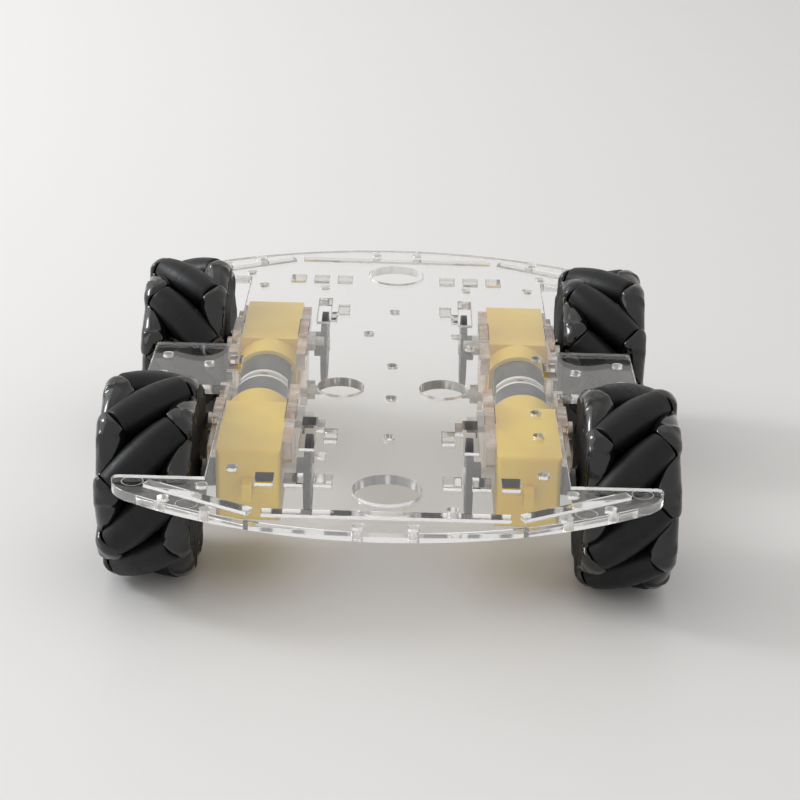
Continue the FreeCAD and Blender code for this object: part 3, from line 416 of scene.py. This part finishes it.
QUARTER_HOLES = ((51.3, 90.7), (61.0, 99.5), (48.7, 106.4), (7.4, 114.2), (71.8, 8.0))
SCREW_HOLE = 1.55
SINGLE_HOLES = (
    (-43.9, -78.3), (43.9, -78.3), (-46.0, 77.6), (46.0, 77.6),
    (-58.0, 1.0), (58.0, 1.0), (-24.6, 76.5), (24.6, 76.5), (-8.2, 31.4), (20.6, 30.7), (24.9, 20.2),
    (46.2, 12.4), (43.8, -33.0), (43.8, -50.4), (-19.3, -68.8), (18.0, -102.9),
    (0, 52.9), (0, 2.7), (0, -24.0), (0, -54.0),
)
RING_MARKS = ((70.5, 90.0), (54.1, 103.6))


def deck_outline():
    """One quarter of the deck's edge, then its mirror images, counter-clockwise."""
    half_width, half_length, radius, tip = 76.6, 118.4, 130.0, 11.0
    bay_x, bay_near, bay_far, corner = 51.1, 18.2, 85.7, 1.8
    tab_x, tab_near, tab_far = 50.05, 27.75, 42.85
    middle = half_length - radius
    tip_x = half_width - tip
    tip_y = middle + math.sqrt((radius - tip) ** 2 - tip_x ** 2)
    lean = math.degrees(math.atan2(tip_y - middle, tip_x))
    quarter = arc((half_width - corner, bay_near - corner), corner, 0, 90, 8)
    quarter += [(bay_x, bay_near), (bay_x, tab_near), (tab_x, tab_near), (tab_x, tab_far), (bay_x, tab_far),
                (bay_x, bay_far)]
    quarter += arc((half_width - corner, bay_far + corner), corner, -90, 0, 8)
    quarter += arc((tip_x, tip_y), tip, 0, lean, 16)
    quarter += arc((0, middle), radius, lean, 90, 48)[1:]
    left = [(-x, y) for x, y in quarter[-2::-1]]
    upper = quarter + left
    return upper + [(-x, -y) for x, y in upper]


def mirrored(loop, side_x, side_y):
    return [(x * side_x, y * side_y) for x, y in loop]


def slanted_slot(start, stop, width):
    along = (Vector(stop) - Vector(start)).normalized() * (width / 2)
    side = Vector((-along.y, along.x))
    corners = (Vector(start) + side, Vector(stop) + side, Vector(stop) - side, Vector(start) - side)
    return [(corner.x, corner.y) for corner in corners]


def deck_holes():
    quarters = [(side_x, side_y) for side_x in (-1, 1) for side_y in (-1, 1)]
    loops = [ring(x * sx, y * sy, SCREW_HOLE, ROUND_COUNT) for x, y in QUARTER_HOLES for sx, sy in quarters]
    loops += [ring(x, y, SCREW_HOLE, ROUND_COUNT) for x, y in SINGLE_HOLES]
    loops += [ring(0, 91.0 * side, 9.6, 96) for side in (-1, 1)]
    loops += [ring(15.7 * side, -16.1, 7.1, 80) for side in (-1, 1)]
    loops += [box_loop(0, 106.9 * side, 67.2, 3.1) for side in (-1, 1)]
    loops += [box_loop(49.9 * side, 1.7, 4.0, 12.0) for side in (-1, 1)]
    window = [(19.4, 43.2), (21.65, 43.2), (21.65, 41.2), (25.95, 41.2), (25.95, 64.4), (21.65, 64.4),
              (21.65, 50.5), (19.4, 50.5)]
    for sx, sy in quarters:
        loops.append(mirrored(slanted_slot((37.0, 106.4), (66.6, 90.2), 3.1), sx, sy))
        loops += [box_loop((18.0 + 8.2 * k) * sx, 85.4 * sy, 5.0, 7.0) for k in range(3)]
        loops.append(mirrored(window, sx, sy))
        loops.append(box_loop(17.2 * sx, 54.0 * sy, 3.6, 8.4))
        loops.append(box_loop(29.8 * sx, 35.3 * sy, 3.1, 15.1))
    return loops


def make_deck():
    bm = cut_sheet(deck_outline(), deck_holes(), DECK_TOP - DECK_THICK, DECK_TOP, DECK_CHAMFER)
    mesh = mesh_of("deck", bm)
    finish_piece("deck", mesh, ["deck", "edge", "hole"], "chassis", ["chassis_plate"], 20)
    marks = []
    for x, y in RING_MARKS:
        for sx in (-1, 1):
            for sy in (-1, 1):
                marks.append(cut_sheet(ring(x * sx, y * sy, 3.1, 64), [ring(x * sx, y * sy, 2.85, 64)],
                                       DECK_TOP - 0.02, DECK_TOP + 0.012, 0.005))
    mesh = mesh_of("deck_rings", joined(marks))
    finish_piece("deck_rings", mesh, ["mark", "mark"], "chassis")


# ---------------------------------------------------------------- brackets

SCREW_Y = 32.5
SCREW_MIDDLE = -14.6
SCREW_APART = 17.5
BRACKET_CHAMFER = 0.1


def bracket_outline():
    """The tee seen from the side, as (place along Y from the middle, place above the deck's top)."""
    centre, bar_half, tab_half, stem, stem_half = 35.3, 22.1, 7.5, SCREW_Y, 6.0
    bar_low, stem_low = -8.8, -26.6
    return [
        (centre - bar_half, -DECK_THICK), (centre - tab_half, -DECK_THICK), (centre - tab_half, 0),
        (centre + tab_half, 0), (centre + tab_half, -DECK_THICK), (centre + bar_half, -DECK_THICK),
        (centre + bar_half, bar_low),
        (stem + stem_half, bar_low), (stem + stem_half, stem_low), (stem - stem_half, stem_low),
        (stem - stem_half, bar_low), (centre - bar_half, bar_low),
    ]


def make_brackets():
    """Sheets are made flat with their thickness along Z, then stood up so that it lies along X."""
    parts = []
    stand_up = Matrix(((0, 0, 1, 0), (1, 0, 0, 0), (0, 1, 0, DECK_TOP), (0, 0, 0, 1)))
    holes = [ring(SCREW_Y, SCREW_MIDDLE + SCREW_APART / 2 * up, 1.6, ROUND_COUNT) for up in (-1, 1)]
    for name in WHEELS:
        side_x, side_y = SIDES[name]
        for near in (MOTOR_X - BOX_HALF - BRACKET_THICK, MOTOR_X + BOX_HALF):
            low, high = sorted((near * side_x, (near + BRACKET_THICK) * side_x))
            outline = [(y * side_y, z) for y, z in bracket_outline()]
            flipped = [[(y * side_y, z) for y, z in hole] for hole in holes]
            sheet = cut_sheet(outline, flipped, low, high, BRACKET_CHAMFER)
            sheet.transform(stand_up)
            parts.append(sheet)
    mesh = mesh_of("brackets", joined(parts))
    looks = ["bracket", "bracket_edge", "bracket_edge"]
    finish_piece("brackets", mesh, looks, "chassis", ["motor_brackets"], 20)


# ---------------------------------------------------------------- rollers

def barrel_side(steps):
    """The crowned side of the barrel from its middle to near its end, as (place along it, radius)."""
    half, crown = ROLLER_HALF, ROLLER_RADIUS
    rise = crown - roller_end_radius()
    curve = (half ** 2 + rise ** 2) / (2 * rise)
    places = [(half - 0.45) * i / steps for i in range(steps + 1)]
    return [(x, crown - curve + math.sqrt(curve ** 2 - x ** 2)) for x in places]


def roller_end_radius():
    """The radius at which the barrel's ends touch the wheel's tread circle."""
    return WHEEL_RADIUS - math.hypot(WHEEL_RADIUS - ROLLER_RADIUS, ROLLER_HALF * math.sin(math.pi / 4))


def roller_profile():
    """The roller's outline from tip to tip of its pin, with a fine groove at its middle and sunk ends."""
    half, end = ROLLER_HALF, roller_end_radius()
    side = [(0.0, ROLLER_RADIUS - 0.07), (0.09, ROLLER_RADIUS - 0.06), (0.16, ROLLER_RADIUS - 0.01)]
    side += barrel_side(22)[1:]
    side += [(half - 0.2, end - 0.06), (half - 0.05, end - 0.2), (half, end - 0.45), (half, 2.9),
             (half - 0.35, 2.6), (half - 0.35, 1.9), (half + 0.1, 1.7), (half + 0.1, PIN_RADIUS),
             (PIN_HALF, PIN_RADIUS), (PIN_HALF, 0)]
    return [(-x, r) for x, r in side[:0:-1]] + side


def roller_matrix(joint):
    """Lays something made along X on the roller's axis, in millimetres."""
    axis = Vector(joint["axis"]).normalized()
    turn = axis.to_track_quat("X", "Z").to_matrix().to_4x4()
    return Matrix.Translation(Vector(joint["pos_m"]) / MM) @ turn


def make_rollers():
    joints = {joint["child"]: joint for joint in frame["joints"]}
    for name in WHEELS:
        for number in range(1, ROLLERS_PER_WHEEL + 1):
            node = "roller_{}_{}".format(name, number)
            mesh = mesh_of(node + "_barrel", lathe(roller_profile(), 56), roller_matrix(joints[node]))
            finish_piece(node + "_barrel", mesh, "rubber", node, [node], 28)


# ---------------------------------------------------------------- the CAD pieces with finished looks

def cad_look(node, look):
    """A better material on a CAD node that keeps its shape."""
    piece = frame["nodes"][node]
    for slot in piece.material_slots:
        slot.material = LOOKS[look]
    if not piece.material_slots:
        piece.data.materials.append(LOOKS[look])


def blob(centre, axes):
    """A closed ellipsoid whose half axes are the three vectors."""
    bm = bmesh.new()
    bmesh.ops.create_icosphere(bm, subdivisions=3, radius=1)
    bm.transform(Matrix.Translation(centre) @ Matrix(axes).transposed().to_4x4())
    bmesh.ops.recalc_face_normals(bm, faces=bm.faces)
    return bm


def finger_blobs(joint, wheel):
    """Rounded fingers, in millimetres, that carry both ends of one roller and taper off round the rim."""
    place = Vector(joint["pos_m"]) / MM
    along = Vector(joint["axis"]).normalized()
    outward = (place - wheel).normalized()
    across = along.cross(outward)
    parts = []
    for side in (-1, 1):
        for sink in FINGER_SINKS:
            centre = place + along * FINGER_REACH * side - outward * sink
            axes = [axis * size for axis, size in zip((along, outward, across), FINGER_AXES)]
            parts.append(blob(centre, axes))
        tip = place + along * FINGER_REACH * side - wheel
        angle = math.atan2(tip.z, tip.y)
        tangent = Vector((0, -math.sin(angle), math.cos(angle)))
        way = math.copysign(1, tangent.dot(along * side))
        face = math.copysign(1, tip.x)
        for step in range(1, FINGER_TAIL_STEPS + 1):
            round_rim = angle + way * math.radians(FINGER_TAIL_TURN * step)
            thick = FINGER_TAIL_THICK - FINGER_TAIL_THINNING * step
            ring_radius = FINGER_TAIL_RADIUS - FINGER_TAIL_SINKING * step
            centre = wheel + Vector((face * (FINGER_FACE - thick), ring_radius * math.cos(round_rim),
                                     ring_radius * math.sin(round_rim)))
            axes = (Vector((thick, 0, 0)), Vector((0, thick, 0)), Vector((0, 0, thick)))
            parts.append(blob(centre, axes))
    return parts


def roller_room(joint):
    """A closed cutter, in millimetres, a little larger than one roller with its pin."""
    bore = PIN_RADIUS + ROLLER_CLEARANCE / 2
    depth = PIN_HALF + ROLLER_CLEARANCE
    side = [(x, r + ROLLER_CLEARANCE) for x, r in barrel_side(16)]
    side += [(LUG_START, side[-1][1]), (LUG_START, bore), (depth, bore), (depth, 0)]
    profile = [(-x, r) for x, r in side[:0:-1]] + side
    room = lathe(profile, 40)
    room.transform(roller_matrix(joint))
    bmesh.ops.recalc_face_normals(room, faces=room.faces)
    return room


def temporary(name, bm):
    """An object in millimetres that only serves a modifier."""
    mesh = bpy.data.meshes.new(name)
    bm.to_mesh(mesh)
    bm.free()
    piece = bpy.data.objects.new(name, mesh)
    bpy.context.scene.collection.objects.link(piece)
    return piece


def applied(piece):
    """The piece's mesh with its modifiers applied. The piece itself goes."""
    graph = bpy.context.evaluated_depsgraph_get()
    mesh = bpy.data.meshes.new_from_object(piece.evaluated_get(graph))
    bpy.data.objects.remove(piece)
    return mesh


def make_hub(name, joints):
    """The moulded hub: the CAD hub with rounded fingertips grown over the ends of its rollers."""
    body = "wheel_" + name
    node = "wheel_hub_" + name
    wheel = Vector((AXLE_X * SIDES[name][0], AXLE_Y * SIDES[name][1], AXLE_Z))
    core = bmesh.new()
    core.from_mesh(frame["nodes"][node].data)
    core.transform(Matrix.Scale(1 / MM, 4))
    bmesh.ops.remove_doubles(core, verts=core.verts, dist=0.001)
    parts = [core]
    for joint in joints:
        parts += finger_blobs(joint, wheel)
    piece = temporary("hub_form", joined(parts))
    piece.data.materials.clear()
    even = piece.modifiers.new("even", "REMESH")
    even.mode = "VOXEL"
    even.voxel_size = HUB_VOXEL
    mesh = applied(piece)
    for vertex in mesh.vertices:
        spot = vertex.co - wheel
        distance = math.hypot(spot.y, spot.z)
        keep = min(1.0, HUB_TREAD / max(distance, HUB_VOXEL))
        on_sleeve = SIDES[name][0] * spot.x < -HUB_HALF and distance < HUB_SLEEVE_REACH
        x = spot.x if on_sleeve else max(-HUB_HALF, min(HUB_HALF, spot.x))
        vertex.co = wheel + Vector((x, spot.y * keep, spot.z * keep))
    piece = bpy.data.objects.new("hub_form", mesh)
    bpy.context.scene.collection.objects.link(piece)
    soften = piece.modifiers.new("soften", "SMOOTH")
    soften.factor = 0.6
    soften.iterations = 9
    cutter = temporary("roller_rooms", joined([roller_room(joint) for joint in joints]))
    carve = piece.modifiers.new("rooms", "BOOLEAN")
    carve.operation = "DIFFERENCE"
    carve.object = cutter
    carve.solver = "EXACT"
    mesh = applied(piece)
    bpy.data.objects.remove(cutter)
    mesh.transform(Matrix.Scale(MM, 4))
    mesh.materials.clear()
    for face in mesh.polygons:
        face.material_index = 1 if abs(face.normal.x) > FLAT_ENOUGH else 0
    finish_piece("hub_" + name, mesh, ["hub", "hub_side"], body, [node], 50)


def make_wheels():
    for name in WHEELS:
        body = "wheel_" + name
        make_hub(name, [joint for joint in frame["joints"] if joint["parent"] == body])
        cad_look("output_shaft_" + name, "nylon")
        cad_look("encoder_disc_" + name, "disc")


def make_motors():
    for name in WHEELS:
        cad_look("gearbox_" + name, "yellow")
    cad_look("motor_cans", "steel")
    cad_look("motor_end_caps", "cap")
    cad_look("motor_straps", "strap")
    cad_look("motor_terminals", "brass")
    cad_look("bracket_screws", "screw")
    cad_look("bracket_nuts", "screw")


# ---------------------------------------------------------------- stage

def make_floor():
    mesh = bpy.data.meshes.new("floor")
    mesh.from_pydata([(-4, -3, 0), (4, -3, 0), (4, 6, 0), (-4, 6, 0)], [], [(0, 1, 2, 3)])
    floor = bpy.data.objects.new("floor", mesh)
    bpy.context.scene.collection.objects.link(floor)
    paper = Look("floor_paper", (0.8, 0.795, 0.79), 0.55)
    # Painted light falloff: the floor's colour darkens from left to right across X, standing in for the
    # window light fading towards the right.
    across = paper.add("SeparateXYZ")
    paper.link(paper.place(), across.inputs[0])
    paper.paint(across.outputs["X"], (0.84, 0.84, 0.84), (0.6, 0.59, 0.585), 0.0, 1.0)
    painted_falloff_ramp = paper.shader.inputs["Base Color"].links[0].from_node
    paper.link(paper.spread(across.outputs["X"], 0.0, 1.0, -0.35, 0.55), painted_falloff_ramp.inputs["Fac"])
    paper.rough(paper.noise(30, 3), 0.5, 0.62)
    mesh.materials.append(paper.material)


def area_light(name, place, target, width, height, power, color):
    data = bpy.data.lights.new(name, "AREA")
    data.shape = "RECTANGLE"
    data.size = width
    data.size_y = height
    data.energy = power
    data.color = color
    lamp = bpy.data.objects.new(name, data)
    lamp.location = place
    lamp.rotation_euler = (Vector(target) - Vector(place)).to_track_quat("-Z", "Y").to_euler()
    bpy.context.scene.collection.objects.link(lamp)


def make_lights():
    world = bpy.data.worlds.new("studio")
    world.use_nodes = True
    background = world.node_tree.nodes["Background"]
    background.inputs["Color"].default_value = (1.0, 0.982, 0.962, 1)
    background.inputs["Strength"].default_value = 0.78
    bpy.context.scene.world = world
    area_light("window", (-1.5, 0.35, 0.95), (0, 0, 0.02), 0.42, 0.42, 9, (0.95, 0.98, 1.0))
    area_light("window_haze", (-1.55, 0.35, 1.0), (0, 0, 0.02), 1.7, 1.4, 7, (0.95, 0.98, 1.0))
    area_light("ceiling", (-0.3, 0.6, 1.6), (0, 0, 0), 1.4, 1.4, 1.5, (1.0, 0.98, 0.96))
    bpy.context.scene.view_settings.view_transform = "Standard"


CAMERA_PLACE = (4.04, -608.8, 285.14)
CAMERA_LENS = 93.09
CAMERA_HEADING = 0.13
CAMERA_DIP = 22.39
CAMERA_ROLL = 1.487


def make_camera():
    """The camera stands in front and a little above, level but for a slight tilt."""
    data = bpy.data.cameras.new("camera")
    data.sensor_width = 36.0
    data.lens = CAMERA_LENS
    data.clip_start = 0.01
    data.clip_end = 50
    camera = bpy.data.objects.new("camera", data)
    place = Matrix.Translation(Vector(CAMERA_PLACE) * MM)
    heading = Matrix.Rotation(math.radians(CAMERA_HEADING), 4, "Z")
    pitch = Matrix.Rotation(math.radians(90 - CAMERA_DIP), 4, "X")
    roll = Matrix.Rotation(math.radians(CAMERA_ROLL), 4, "Z")
    camera.matrix_world = place @ heading @ pitch @ roll
    bpy.context.scene.collection.objects.link(camera)
    bpy.context.scene.camera = camera


make_floor()
make_lights()
make_camera()
make_deck()
make_brackets()
make_motors()
make_wheels()
make_rollers()
